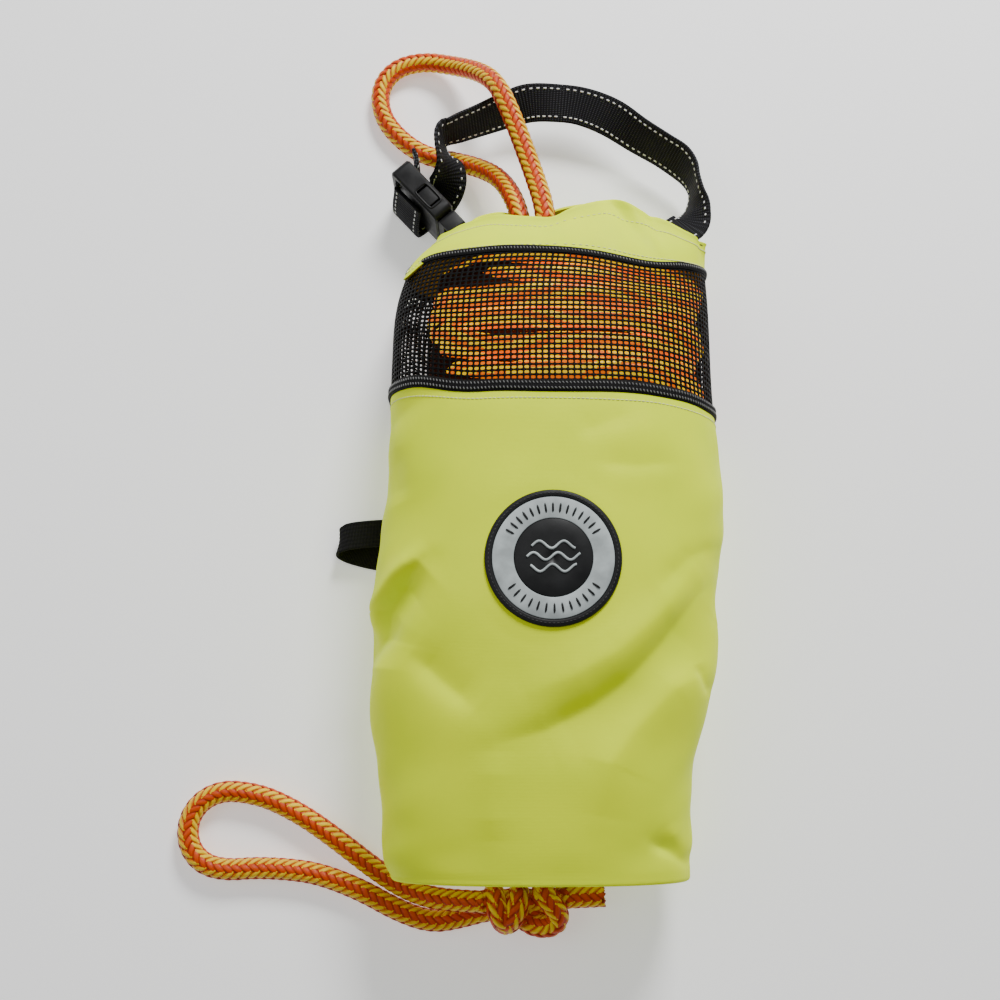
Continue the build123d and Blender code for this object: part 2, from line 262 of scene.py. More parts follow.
def yellow_fabric(name="yellow_coated_fabric", tint=(0.80, 0.96, 0.0)):
    """Fluorescent coated nylon: plain weave, soft sheen, slightly uneven colour and a weak painted glow.
    """
    deep = tuple(value * factor for value, factor in zip(tint, (0.93, 0.95, 0.6)))
    # Painted glow: a weak emission in the fabric's own colour brightens it beyond what the lamps give.
    glow = {"Emission_Color": (*tint, 1), "Emission_Strength": 0.08}
    s = Shader(name, tint, 0.52, Specular_IOR_Level=DULL, **glow)
    s.set("Base Color", s.ramp(s.noise(28, 4), [(0.35, deep), (0.62, tint)]))
    uv = s.coordinates()
    weave = s.math("MULTIPLY", s.wave("X", 0.55, uv, 0.4), s.wave("Y", 0.55, uv, 0.4))
    s.bump(weave, 0.05, 0.5)
    s.bump(s.noise(420, 2), 0.06, 0.5)
    s.set("Roughness", s.ramp(s.noise(90, 3), [(0.3, (0.44,) * 3), (0.7, (0.60,) * 3)]))
    return s.material


def strand_material(name, bright, deep, glow=0.06):
    """A flat bundle of glossy polypropylene filaments, with painted shade darkening its edges and a
    painted glow.
    """
    # Painted glow: the emission brightens the strands beyond what the lamps give.
    light = {"Emission_Color": (*bright, 1), "Emission_Strength": glow}
    s = Shader(name, bright, 0.40, Specular_IOR_Level=0.3, **light)
    uv = s.coordinates()
    across = s.node("ShaderNodeSeparateXYZ", {"Vector": uv}).outputs["Y"]
    # Painted shade: the colour darkens from the strand's lit middle towards its edges, in the grooves
    # between strands.
    painted_edge_shade = s.math("ABSOLUTE", s.math("SUBTRACT", across, 0.5))
    shade = s.math("ADD", painted_edge_shade, s.math("MULTIPLY", s.noise(260, 2), 0.22))
    s.set("Base Color", s.ramp(shade, [(0.1, bright), (0.30, bright), (0.52, deep)]))
    filaments = s.node("ShaderNodeMapping", {"Vector": uv, "Scale": (0.35, 26.0, 1.0)}).outputs[0]
    s.bump(s.noise(1.0, 3, filaments), 0.12, 0.8)
    return s.material


def webbing(name, colour=(0.006, 0.006, 0.007)):
    """Black nylon webbing: crosswise ribs of short floats and a dull sheen."""
    s = Shader(name, colour, 0.62, Specular_IOR_Level=DULL)
    uv = s.coordinates()
    ribs = s.wave("X", 1.5, uv, 0.5)
    floats = s.math("MULTIPLY", ribs, s.wave("Y", 0.9, uv, 0.8))
    s.set("Base Color", s.ramp(floats, [(0.25, colour), (0.9, tuple(7 * c for c in colour))]))
    s.bump(floats, 0.18, 0.9)
    s.bump(s.noise(900, 2), 0.05, 0.6)
    return s.material


def plain_black(name, colour, roughness, grain=0.03, grain_scale=700, gloss=0.25):
    """Moulded or coated black plastic with a fine grain and uneven gloss."""
    s = Shader(name, colour, roughness, Specular_IOR_Level=gloss)
    lighter = tuple(1.6 * c + 0.001 for c in colour)
    s.set("Base Color", s.ramp(s.noise(120, 3), [(0.35, colour), (0.75, lighter)]))
    rough = s.ramp(s.noise(160, 4), [(0.3, (roughness - 0.07,) * 3), (0.7, (roughness + 0.10,) * 3)])
    s.set("Roughness", rough)
    s.bump(s.noise(grain_scale, 2), grain, 0.6)
    return s.material


def binding_tape():
    """Woven black tape with a herringbone of fine ridges."""
    s = Shader("binding_tape", (0.010, 0.010, 0.011), 0.7, Specular_IOR_Level=DULL)
    uv = s.coordinates()
    weave = s.math("MULTIPLY", s.wave("X", 0.8, uv, 1.0), s.wave("Y", 0.8, uv, 1.0))
    s.set("Base Color", s.ramp(weave, [(0.3, (0.004, 0.004, 0.004)), (0.9, (0.020, 0.020, 0.021))]))
    s.bump(weave, 0.15, 0.8)
    return s.material


def ribbed_elastic():
    """Black elastic with a soft knitted surface; the lengthwise ribs are in its shape."""
    s = Shader("ribbed_elastic", (0.012, 0.012, 0.012), 0.75, Specular_IOR_Level=DULL)
    uv = s.coordinates()
    knit = s.wave("X", 0.7, uv, 1.2)
    s.set("Base Color", s.ramp(knit, [(0.2, (0.004, 0.004, 0.004)), (0.9, (0.02, 0.02, 0.02))]))
    s.bump(knit, 0.10, 0.8)
    return s.material


def thread(name, colour):
    s = Shader(name, colour, 0.55, Sheen_Weight=0.2)
    s.set("Base Color", s.ramp(s.noise(600, 2), [(0.3, tuple(0.7 * c for c in colour)), (0.7, colour)]))
    s.bump(s.noise(1500, 2), 0.05, 0.5)
    return s.material


YELLOW = yellow_fabric()
# Painted shade: the collar's inside is a dark olive copy of the yellow fabric, standing for the shade
# inside the mouth.
YELLOW_INSIDE_PAINTED_SHADE = yellow_fabric("yellow_fabric_inside_painted_shade", (0.20, 0.17, 0.01))
ORANGE_STRAND = strand_material("orange_strand", (0.62, 0.065, 0.0), (0.30, 0.012, 0.0))
YELLOW_STRAND = strand_material("yellow_strand", (0.86, 0.57, 0.0), (0.55, 0.16, 0.0))
WEBBING = webbing("handle_webbing")
MESH_PVC = plain_black("mesh_pvc", (0.002, 0.002, 0.0022), 0.60, gloss=0.08)
BUCKLE = plain_black("buckle_plastic", (0.006, 0.006, 0.0065), 0.40)
GROMMET = plain_black("grommet_plastic", (0.015, 0.015, 0.016), 0.38)
BADGE_BLACK = plain_black("badge_rubber", (0.009, 0.0095, 0.010), 0.50)
BADGE_GREY = plain_black("badge_grey_rubber", (0.36, 0.40, 0.40), 0.48, 0.015)
BINDING = binding_tape()
ELASTIC = ribbed_elastic()
WHITE_THREAD = thread("white_tracer_thread", (0.85, 0.85, 0.84))
YELLOW_THREAD = thread("yellow_thread", (0.95, 0.98, 0.50))
GREY_THREAD = thread("grey_thread", (0.16, 0.16, 0.16))
BLACK_THREAD = thread("black_thread", (0.02, 0.02, 0.02))
# Painted glow: the stowed rope's strands emit strongly, so the rope seen through the mesh reads bright.
STOWED_ORANGE_PAINTED_GLOW = strand_material("stowed_orange_strand_painted_glow", (0.96, 0.17, 0.0), (0.50, 0.04, 0.0), 0.8)
STOWED_YELLOW_PAINTED_GLOW = strand_material("stowed_yellow_strand_painted_glow", (1.0, 0.62, 0.0), (0.75, 0.22, 0.0), 0.8)
ROPE_CORE = plain_black("rope_core", (0.20, 0.022, 0.004), 0.7, 0.1, 300)
ROPE_SHADE = plain_black("rope_in_shade", (0.05, 0.010, 0.003), 0.8, 0.1, 300, 0.05)
FOAM = plain_black("foam", (0.55, 0.55, 0.52), 0.85, 0.1, 300)

# ------------------------------------------------------------------ camera, floor and light


def make_camera():
    target = Vector((-22, 20, 40)) * MM
    tilt = math.radians(12)
    distance = 550 * MM
    sensor_width, zoom = 36, 1.21
    data = bpy.data.cameras.new("camera")
    data.sensor_width = sensor_width
    data.lens = sensor_width * zoom
    data.clip_start = 0.01
    camera = bpy.data.objects.new("camera", data)
    looking = Vector((0, math.sin(tilt), -math.cos(tilt)))
    camera.location = target - distance * looking
    camera.rotation_euler = (tilt, 0, 0)
    bpy.context.scene.collection.objects.link(camera)
    bpy.context.scene.camera = camera


def area_light(name, place, size, power, aim=(0, 0, 0.03)):
    data = bpy.data.lights.new(name, "AREA")
    data.shape = "DISK"
    data.size = size
    data.energy = power
    light = bpy.data.objects.new(name, data)
    light.location = place
    light.rotation_euler = (Vector(aim) - Vector(place)).to_track_quat("-Z", "Y").to_euler()
    bpy.context.scene.collection.objects.link(light)


def make_studio():
    half = 8.0  # metres
    corners = [(-half, -half, 0), (half, -half, 0), (half, half, 0), (-half, half, 0)]
    glow = {"Emission_Color": (1, 1, 1, 1), "Emission_Strength": 0.50}
    shader = Shader("studio_floor", (0.86, 0.86, 0.86), 0.75, **glow)
    shader.set("Base Color", shader.ramp(shader.noise(3), [(0.3, (0.85,) * 3), (0.7, (0.87,) * 3)]))
    floor = make_mesh("studio_floor", np.array(corners) / MM, [(0, 1, 2, 3)], [shader.material])
    area_light("key", (0.30, 1.0, 0.85), 0.45, 22)
    area_light("fill", (-0.8, 0.1, 1.2), 1.0, 3.5)
    world = bpy.data.worlds.new("world")
    world.use_nodes = True
    background = world.node_tree.nodes["Background"]
    background.inputs["Color"].default_value = (1, 1, 1, 1)
    background.inputs["Strength"].default_value = 0.20
    bpy.context.scene.world = world


# ------------------------------------------------------------------ the stuffed bag's surface

BOTTOM_Y, WINDOW_LOW_Y, COLLAR_Y = -144.0, 62.0, 131.0
BADGE_X, BADGE_Y, BADGE_R = 0.0, -14.0, 28.5
GROMMET_X, GROMMET_Z = -3.0, 20.0
PANEL_HOLE_R, FOAM_HOLE_R = 6.4, 7
FABRIC_T = 0.7
LOWEST_Z = 0.35  # the lower bag's sheet goes no lower

# The bag's left edge, right edge and height, each as (y, value).

LEFT = [(-146, -68), (-140, -71.5), (-121, -73.6), (-95, -75.5), (-78, -78.6), (-61, -79.8), (-35, -79.3),
        (-17, -77.2), (10, -74.3), (29, -73.6), (62, -72.2), (76, -72), (116, -69.6), (135, -64.5)]
RIGHT = [(-146, 60), (-129, 60.5), (-112, 61.2), (-91, 63.5), (-74, 68.3), (-61, 71.8), (-44, 74),
         (-25, 74.5), (-8, 76.6), (10, 77.6), (29, 77.6), (48, 76.6), (62, 75.6), (116, 75.6),
         (135, 75.4)]
TOP = [(-146, 66), (-120, 72), (-80, 79), (-40, 84), (0, 86), (62, 85.5), (100, 80), (131, 70)]


def section(theta, y):
    """Across the bag: x and z at an angle that starts on the right and goes over the top."""
    left, right, top = smooth(LEFT, y), smooth(RIGHT, y), smooth(TOP, y)
    middle_z = 0.47 * top
    cos, sin = np.cos(theta), np.sin(theta)
    over = sin > 0
    flat = np.where(over, 0.88, 0.50)
    x = (right + left) / 2 + (right - left) / 2 * np.sign(cos) * np.abs(cos) ** 0.82
    z = middle_z + np.where(over, top - middle_z, middle_z) * np.sign(sin) * np.abs(sin) ** flat
    return x, z


ARC_STEPS = 2400


def even_angles(count, y, start=-math.pi / 2, turn=TAU):
    """Angles that are evenly spaced along the section's outline at y."""
    fine = np.linspace(start, start + turn, ARC_STEPS + 1)
    x, z = section(fine, np.full_like(fine, y))
    run = np.r_[0, np.cumsum(np.hypot(np.diff(x), np.diff(z)))]
    at = np.linspace(0, run[-1], count + 1)[:count]
    return np.interp(at, run, fine), at, run[-1]


# Creases and ridges on the front, in millimetres: points (x, y), depth, near width and far width.
CREASES = [
    ([(-56, -14), (-67, -24), (-75, -33), (-79, -44), (-81, -56)], 8.5, 2.4, 12.0),
    ([(74, -20), (64, -27), (48, -47), (31, -64), (17, -74), (-3, -84), (-25, -90)], 4.3, 6.0, 16.0),
    ([(-74, 43), (-60, 52), (-47, 58)], 1.6, 5.0, 8.0),
    ([(-71, 34), (-66, 12)], 1.5, 6.0, 6.0),
    ([(-60, -52), (-46, -64), (-32, -75)], 2.4, 5.0, 9.0),
    ([(10, 39), (34, 49)], 0.8, 5.0, 8.0),
    ([(18, 27), (36, 26), (54, 29)], 1.0, 4.0, 9.0),
    ([(40, -128), (50, -133), (62, -143)], 2.4, 3.0, 5.0),
    ([(62, -56), (68, -69)], 1.3, 3.0, 4.0),
    ([(76, -4), (58, -12), (44, -26)], 1.6, 5.0, 9.0),
]
RIDGES = [
    ([(-52, -8), (-66, -18), (-76, -29), (-82, -42)], 2.8, 6.0, 6.0),
    ([(62, -14), (46, -34), (26, -52), (8, -62), (-12, -70)], 2.4, 8.0, 10.0),
    ([(72, -56), (50, -67), (33, -84), (23, -97), (19, -118)], 2.8, 7.0, 11.0),
    ([(-25, -92), (-25, -128)], 1.3, 7.0, 9.0),
    ([(48, -122), (58, -138)], 1.3, 4.0, 5.0),
]


def line_distance(x, y, line):
    """Distance to a line of points, the side of it (1 to -1), and a fade.

    The fade is 1 along the line's middle half and about 0.2 at its ends.
    """
    best = np.full(x.shape, 1e9)
    side = np.zeros(x.shape)
    fade = np.zeros(x.shape)
    lengths = [math.dist(a, b) for a, b in zip(line, line[1:])]
    total, run = sum(lengths), 0.0
    for (ax, ay), (bx, by), length in zip(line, line[1:], lengths):
        dx, dy = (bx - ax) / length, (by - ay) / length
        along = (x - ax) * dx + (y - ay) * dy
        held = np.clip(along, 0, length)
        off = np.hypot(x - ax - held * dx, y - ay - held * dy)
        across = (x - ax) * dy - (y - ay) * dx
        nearer = off < best
        best = np.where(nearer, off, best)
        side = np.where(nearer, across / np.maximum(off, 1e-6), side)
        share = (run + held) / total
        taper = np.minimum(1, 3.2 * np.minimum(share + 0.06, 1.06 - share))
        fade = np.where(nearer, taper, fade)
        run += length
    return best, np.clip(side, -1, 1), fade


def fold_height(x, y, height_share):
    """How far the fabric stands out (+) or in (-) of the smooth stuffed shape."""
    out = np.zeros(x.shape)
    for sign, folds in ((-1, CREASES), (1, RIDGES)):
        for line, depth, near, far in folds:
            distance, side, fade = line_distance(x, y, line)
            width = (near + far) / 2 + side * (near - far) / 2
            out += sign * depth * fade * np.exp(-((distance / width) ** 1.6))
    out *= ease(height_share, 0.02, 0.35)
    return out


def soft_lumps(theta, y):
    """Low uneven swelling from the rope inside, and small slack wrinkles at the sides."""
    lumps = 0.7 * np.sin(3 * theta + y / 31 + 0.6) * np.sin(y / 23 + 2 * theta)
    lumps += 0.5 * np.sin(5 * theta - y / 17 + 1.9) * np.cos(y / 13 + theta)
    slack = 0.22 * np.sin(y / 4.3 + 6 * theta + 1.5 * np.sin(y / 19)) * np.abs(np.cos(theta)) ** 3
    return lumps + slack


def slant(theta, x, y):
    """The window's edges don't run straight round the bag: how far a point lies further up."""
    low = np.exp(-(((y - 62) / 38) ** 2))
    lift = 8.0 * ease(-np.cos(theta), 0.35, 1.0) * low - 3.0 * ease(np.cos(theta), 0.4, 1.0) * low
    dip = 5.5 * np.exp(-(((x - 45) / 26) ** 2)) * ease(np.sin(theta), 0.0, 0.6) * ease(y, 95, 131)
    return lift - dip


def bag_point(theta, y, out=0.0, folds=1.0):
    """A point on the bag's outside, out millimetres proud of the fabric."""
    x, z = section(theta, y)
    step = 1e-3
    x2, z2 = section(theta + step, y)
    nx, nz = z2 - z, -(x2 - x)
    length = np.maximum(np.hypot(nx, nz), 1e-9)
    nx, nz = nx / length, nz / length
    top = smooth(TOP, y)
    if folds:
        rise = folds * fold_height(x, y, z / top - 0.25)
        rise = rise + folds * soft_lumps(theta, y) * ease(z, 2, 25)
        pinch = ease(y, BOTTOM_Y, BOTTOM_Y + 14) * ease(-y, -WINDOW_LOW_Y, -WINDOW_LOW_Y + 22)
        rise = rise * np.maximum(pinch, 0.12) * badge_room(x, y)
    else:
        rise = 0.0
    x = x + nx * (rise + out)
    z = np.maximum(z + nz * (rise + out), LOWEST_Z)
    return np.stack([x, y + slant(theta, x, y), z], -1)


def bag_sheet(y_start, y_end, columns, rows, out=0.0, folds=1.0):
    """A closed band of the bag's surface: a grid of points, and its UV in millimetres round and along."""
    theta, run, _ = even_angles(columns, (y_start + y_end) / 2)
    theta_grid, y_grid = np.meshgrid(theta, np.linspace(y_start, y_end, rows))
    points = bag_point(theta_grid, y_grid, out, folds)
    uv = np.stack([np.broadcast_to(run, y_grid.shape), y_grid], -1)
    return points, uv.reshape(-1, 2)


def badge_room(x, y):
    """0 under the badge, whose stiff disc keeps the fabric smooth, and 1 away from it."""
    return ease(np.hypot(x - BADGE_X, y - BADGE_Y), BADGE_R - 1, BADGE_R + 9)


def make_body():
    """Lower bag: one sheet from the window over the bottom seam and across the end panel to its hole."""
    columns, rows = 330, 250
    points, uv = bag_sheet(WINDOW_LOW_Y - 3, BOTTOM_Y, columns, rows)
    last = points[-1]
    around = unit(last[:, [0, 2]] - [GROMMET_X, GROMMET_Z])
    hole = np.zeros_like(last)
    hole[:, 0] = GROMMET_X + PANEL_HOLE_R * around[:, 0]
    hole[:, 2] = GROMMET_Z + PANEL_HOLE_R * around[:, 1]
    edge = [(0.999, 0.7), (0.992, 1.5), (0.980, 1.9), (0.968, 1.4), (0.958, 0.7), (0.946, 1.0)]
    panel = [(share, 1.0 + 0.9 * math.sin(math.pi * share)) for share in np.linspace(0.92, 0.0, 26)]
    rings, ring_uv = [points.reshape(-1, 3)], [uv]
    for share, out in edge + panel:
        ring = hole + (last - hole) * share
        wrinkle = 0.35 * np.sin(0.35 * ring[:, 0] + 2) * np.sin(0.22 * ring[:, 2]) * min(1, 6 * share)
        ring[:, 1] = BOTTOM_Y - out - wrinkle * (share < 0.9)
        ring[:, 2] = np.maximum(ring[:, 2], LOWEST_Z)
        rings.append(ring)
        ring_uv.append(ring[:, [0, 2]])
    total = rows + len(edge) + len(panel)
    faces = grid_faces(total, columns, wrap_columns=True)
    piece = make_mesh("fabric_body", np.concatenate(rings), faces, [YELLOW], np.concatenate(ring_uv))
    thicken(piece, FABRIC_T)
    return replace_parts(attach(piece, "bag"), "body_shell", "bottom_panel")


def make_foam():
    """Flotation slab across the bottom, with a hole for the rope."""
    columns = 96
    theta, _, _ = even_angles(columns, -130)
    rings = []
    for y, out in ((-141, -6.5), (-140, -5), (-119, -5), (-118, -6.5)):
        rings.append(bag_point(theta, np.full(columns, float(y)), out, 0))
    around = unit(rings[0][:, [0, 2]] - [GROMMET_X, GROMMET_Z])
    for y in (-118, -141):
        hole = np.full((columns, 3), float(y))
        hole[:, 0] = GROMMET_X + FOAM_HOLE_R * around[:, 0]
        hole[:, 2] = GROMMET_Z + FOAM_HOLE_R * around[:, 1]
        rings.append(hole)
    faces = grid_faces(6, columns, wrap_columns=True, wrap_rows=True)[:, ::-1]
    piece = make_mesh("foam_slab", np.concatenate(rings), faces, [FOAM], flat=True)
    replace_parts(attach(piece, "bag"), "flotation_foam")


def make_window():
    """The mesh: coated cords crossing at right angles, with rounded holes between them."""
    columns, rows = 142, 29
    low, high, uv_radius = 60.5, 129.5, 65
    theta, _, _ = even_angles(2 * columns, 96)
    y_lines = np.linspace(low, high, 2 * rows + 1)
    theta_grid, y_grid = np.meshgrid(theta, y_lines)
    lattice = bag_point(theta_grid, y_grid, 0.1, 0).reshape(-1, 3)
    uv_lattice = np.stack([theta_grid * uv_radius, y_grid], -1).reshape(-1, 2)
    width = 2 * columns
    points, uv, faces = [lattice], [uv_lattice], []
    keys = [(0, 0), (1, 0), (2, 0), (2, 1), (2, 2), (1, 2), (0, 2), (0, 1)]
    hole_x = np.array([-0.62, 0, 0.62, 0.74, 0.62, 0, -0.62, -0.74])
    hole_y = np.array([-0.58, -0.70, -0.58, 0, 0.58, 0.70, 0.58, 0])
    i, j = np.meshgrid(np.arange(rows), np.arange(columns), indexing="ij")
    i, j = i.ravel(), j.ravel()
    theta_step = np.append(np.diff(theta), theta[0] + TAU - theta[-1])
    centre_theta = theta[2 * j + 1]
    centre_y = y_lines[2 * i + 1]
    hole_theta = centre_theta[:, None] + hole_x * theta_step[2 * j][:, None]
    hole_line = centre_y[:, None] + hole_y * (y_lines[1] - y_lines[0])
    points.append(bag_point(hole_theta, hole_line, 0.1, 0).reshape(-1, 3))
    uv.append(np.stack([hole_theta * uv_radius, hole_line], -1).reshape(-1, 2))
    outer = np.stack([(2 * i + b) * width + (2 * j + a) % width for a, b in keys], -1)
    inner = len(lattice) + 8 * np.arange(rows * columns)[:, None] + np.arange(8)
    for k in range(8):
        n = (k + 1) % 8
        faces.append(np.stack([outer[:, k], outer[:, n], inner[:, n], inner[:, k]], -1))
    centres = ((2 * i + 1) * width + 2 * j + 1).tolist()
    points, uv, faces = np.concatenate(points), np.concatenate(uv), np.concatenate(faces)
    keep = np.ones(len(points), bool)
    keep[centres] = False
    renumber = np.cumsum(keep) - 1
    piece = make_mesh("window_mesh", points[keep], renumber[faces][:, ::-1], [MESH_PVC], uv[keep])
    thicken(piece, 0.5)
    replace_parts(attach(piece, "bag"), "mesh_band")


def make_binding(name, node, y_low, y_high, proud, tick_rows):
    """A folded tape over a fabric edge, with its stitches."""
    columns, rows = 260, 13
    theta, run, _ = even_angles(columns, (y_low + y_high) / 2)
    across = np.linspace(-1, 1, rows)
    y = (y_low + y_high) / 2 + (y_high - y_low) / 2 * across
    out = proud * (1 - np.abs(across) ** 4) + 0.05
    ribs = 0.05 * np.sin(across * 14)
    theta_grid, y_grid = np.meshgrid(theta, y)
    wobble = 0.35 * np.sin(3 * theta_grid + 1) + 0.2 * np.sin(11 * theta_grid)
    points = bag_point(theta_grid, y_grid + wobble, (out + ribs)[:, None], 0)
    uv = np.stack([np.broadcast_to(run, y_grid.shape), y_grid], -1)
    faces = grid_faces(rows, columns, wrap_columns=True)[:, ::-1]
    piece = make_mesh(name, points.reshape(-1, 3), faces, [BINDING], uv.reshape(-1, 2))
    thicken(piece, 0.6)
    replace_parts(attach(piece, "bag"), node)
    for number, y_row in enumerate(tick_rows):
        angles, _, _ = even_angles(250, y_row)
        wave = 0.35 * np.sin(3 * angles + 1) + 0.2 * np.sin(11 * angles)
        places = bag_point(angles, np.full(250, y_row) + wave, proud + 0.15, 0)
        ahead = bag_point(angles + 0.003, y_row + wave + 0.45, proud + 0.15, 0)
        make_stitches(f"{name}_stitches_{number}", places, unit(ahead - places), 1.3, 0.55, GREY_THREAD)


def make_stitches(name, places, directions, length, thickness, material, body="bag"):
    """Short raised thread beads: one six-sided bead for each place."""
    sides = np.arange(6) * TAU / 6
    helper = np.where(np.abs(directions[:, 2:3]) > 0.9, [[0.0, 1.0, 0.0]], [[0.0, 0.0, 1.0]])
    side = unit(np.cross(directions, helper))
    up = np.cross(side, directions)
    profile = [(-0.5, 0.25), (-0.3, 1.0), (0.3, 1.0), (0.5, 0.25)]
    rings = []
    for along, size in profile:
        for angle in sides:
            reach = side * math.cos(angle) + up * math.sin(angle)
            rings.append(places + directions * along * length + reach * size * thickness / 2)
    points = np.stack(rings, 1)
    bead = grid_faces(4, 6, wrap_columns=True)[:, ::-1].tolist() + end_caps(4, 6)
    faces = [[24 * n + k for k in face] for n in range(len(places)) for face in bead]
    piece = make_mesh(name, points.reshape(-1, 3), faces, [material])
    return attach(piece, body)


# The mouth's edge as (x, y): along its front, and along its back. Then its middle and half size.
RIM = [(-52, 144), (-44, 147.5), (-36, 149.8), (-30, 151), (-8, 151.6), (4, 151), (9, 153.5), (20, 157),
       (31, 159.4), (38, 156.5), (46, 153.3), (55, 149.7), (63, 146), (75, 141.5)]
BACK_RIM = [(-52, 144), (-42, 157), (-20, 165.5), (0, 166), (20, 167), (35, 167), (50, 160),
            (63, 150), (75, 141.5)]
MOUTH_X, MOUTH_HALF_W, MOUTH_Z, MOUTH_HALF_H = 12, 62, 43, 13.0


def collar_point(theta, t, inward=0.0):
    """On the collar, a share t of the way from the window to the mouth, and inward from its outside."""
    flap = np.exp(-(((theta - 2.74) / 0.14) ** 2)) * (1 - t) ** 2
    start = COLLAR_Y - 1.5 - 9.0 * flap
    base_x, base_z = section(theta, start)
    cos, sin = np.cos(theta), np.sin(theta)
    mouth_x = MOUTH_X + MOUTH_HALF_W * np.sign(cos) * np.abs(cos) ** 0.8
    rope_dip = 9.0 * np.exp(-(((mouth_x + 12) / 17) ** 2))  # the back of the mouth sags under the rope
    half_height = np.where(sin > 0, MOUTH_HALF_H, MOUTH_HALF_H + rope_dip)
    mouth_z = MOUTH_Z + half_height * np.sign(sin) * np.abs(sin) ** 0.75
    blend = smooth([(0, 0), (0.25, 0.16), (0.5, 0.42), (0.75, 0.76), (1, 1)], t)
    x = base_x + (mouth_x - base_x) * blend
    z = base_z + (mouth_z - base_z) * blend
    back = np.abs(np.minimum(sin, 0)) ** 0.6
    rim = smooth(RIM, mouth_x) * (1 - back) + back * (smooth(BACK_RIM, mouth_x) + np.sin(8 * theta + 0.5))
    rim = rim + 0.6 * np.sin(9 * theta + 1) * np.abs(sin)
    start = start + slant(theta, base_x, start)
    y = start + (rim - start) * t
    front = ease(sin, 0.2, 0.7)
    pleats = np.sin(13 * theta + 1.2 * np.sin(3 * theta)) * (1.1 - 0.8 * front)
    tuck = theta - 1.36 + 0.42 * (1 - t)
    gather = 2.6 * np.exp(-((tuck / 0.08) ** 2)) - 1.8 * np.exp(-(((tuck + 0.13) / 0.09) ** 2))
    tuck = theta - 1.02 + 0.20 * (1 - t)
    gather += 1.6 * np.exp(-((tuck / 0.06) ** 2))
    slack = -1.2 * np.exp(-(((theta - 1.9 + 0.3 * t) / 0.3) ** 2)) * np.sin(math.pi * t)
    out = (pleats - gather) * t**1.3 + slack - inward + 2.8 * flap
    out = out + 0.5 * np.exp(-(((t - 0.99) / 0.05) ** 2))
    far = unit(np.stack([np.cos(theta) * 0.9, np.sin(theta)], -1))
    z = z + far[..., 1] * out
    return np.stack([x + far[..., 0] * out, y, np.maximum(z, 0.5)], -1)


def make_collar():
    """Yellow collar closing towards the mouth, with its hem turned in round the cord."""
    columns = 300
    theta = np.linspace(-math.pi / 2, 1.5 * math.pi, columns, endpoint=False)
    rows = []
    for t in np.linspace(0, 1, 40):
        rows.append((t, 0.0, 0))
    for angle in np.linspace(0.4, math.pi - 0.4, 5):
        rows.append((1 + 0.045 * math.sin(angle), 1.7 * (1 - math.cos(angle)), 0))
    for t in np.linspace(1, 0.70, 10):
        rows.append((t, 3.4, 1))
    for t in np.linspace(0.67, 0, 20):
        rows.append((t, 1.3, 1))
    points = np.stack([collar_point(theta, np.full(columns, t), inward) for t, inward, _ in rows])
    uv = np.stack([np.broadcast_to(theta * 60, (len(rows), columns)), points[..., 1]], -1)
    faces = grid_faces(len(rows), columns, wrap_columns=True, wrap_rows=True)[:, ::-1]
    # The turned-in rows take the dark inside fabric, whose colour is painted shade.
    sides = np.repeat([row[2] for row in rows], columns)
    piece = make_mesh(
        "fabric_collar", points.reshape(-1, 3), faces, [YELLOW, YELLOW_INSIDE_PAINTED_SHADE], uv.reshape(-1, 2), sides
    )
    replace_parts(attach(piece, "bag"), "collar", "collar_hem")
    line = collar_point(theta, np.full(columns, 0.93), 1.7)
    tube(line, 1.1, "hem_cord", BLACK_THREAD, 8, closed=True, node="hem_cord")
    for name, share in (("collar_hem_stitches", 0.74), ("collar_seam_stitches", 0.10)):
        angles = np.linspace(0, TAU, 190, endpoint=False)
        places = collar_point(angles, np.full(190, share), -0.12)
        ahead = collar_point(angles + 0.01, np.full(190, share), -0.12)
        make_stitches(name, places, unit(ahead - places), 1.5, 0.5, YELLOW_THREAD)


def tube(line, radius, name, material, sides, closed=False, node=None, body="bag"):
    """A round tube along a line, riding a body."""
    _, side, up = line_frames(line)
    angle = np.arange(sides) * TAU / sides
    ring = spokes(side, up, angle)
    points = line[:, None] + radius * ring
    faces = grid_faces(len(line), sides, wrap_columns=True, wrap_rows=closed).tolist()
    if not closed:
        faces += [cap[::-1] for cap in end_caps(len(line), sides)]
    piece = make_mesh(name, points.reshape(-1, 3), faces, [material])
    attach(piece, body)
    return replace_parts(piece, node) if node else piece


def seam_stitches():
    """A row of thread just below the window."""
    angles, _, _ = even_angles(210, 55)
    y = 54.5 + 0.4 * np.sin(4 * angles)
    places = bag_point(angles, y, 0.10)
    ahead = bag_point(angles + 0.01, y, 0.10)
    make_stitches("window_seam_stitches", places, unit(ahead - places), 1.6, 0.5, YELLOW_THREAD)


# ------------------------------------------------------------------ rope

ROPE_R = 5.0
LAY = 32.0  # one turn of a strand round the rope
STRAND_RING, STRAND_WAVE = 3.95, 0.33
STRAND_HALF_W, STRAND_HALF_T = (1.68, 1.28), 0.72  # half widths of orange and yellow
CORE_R = 3.3


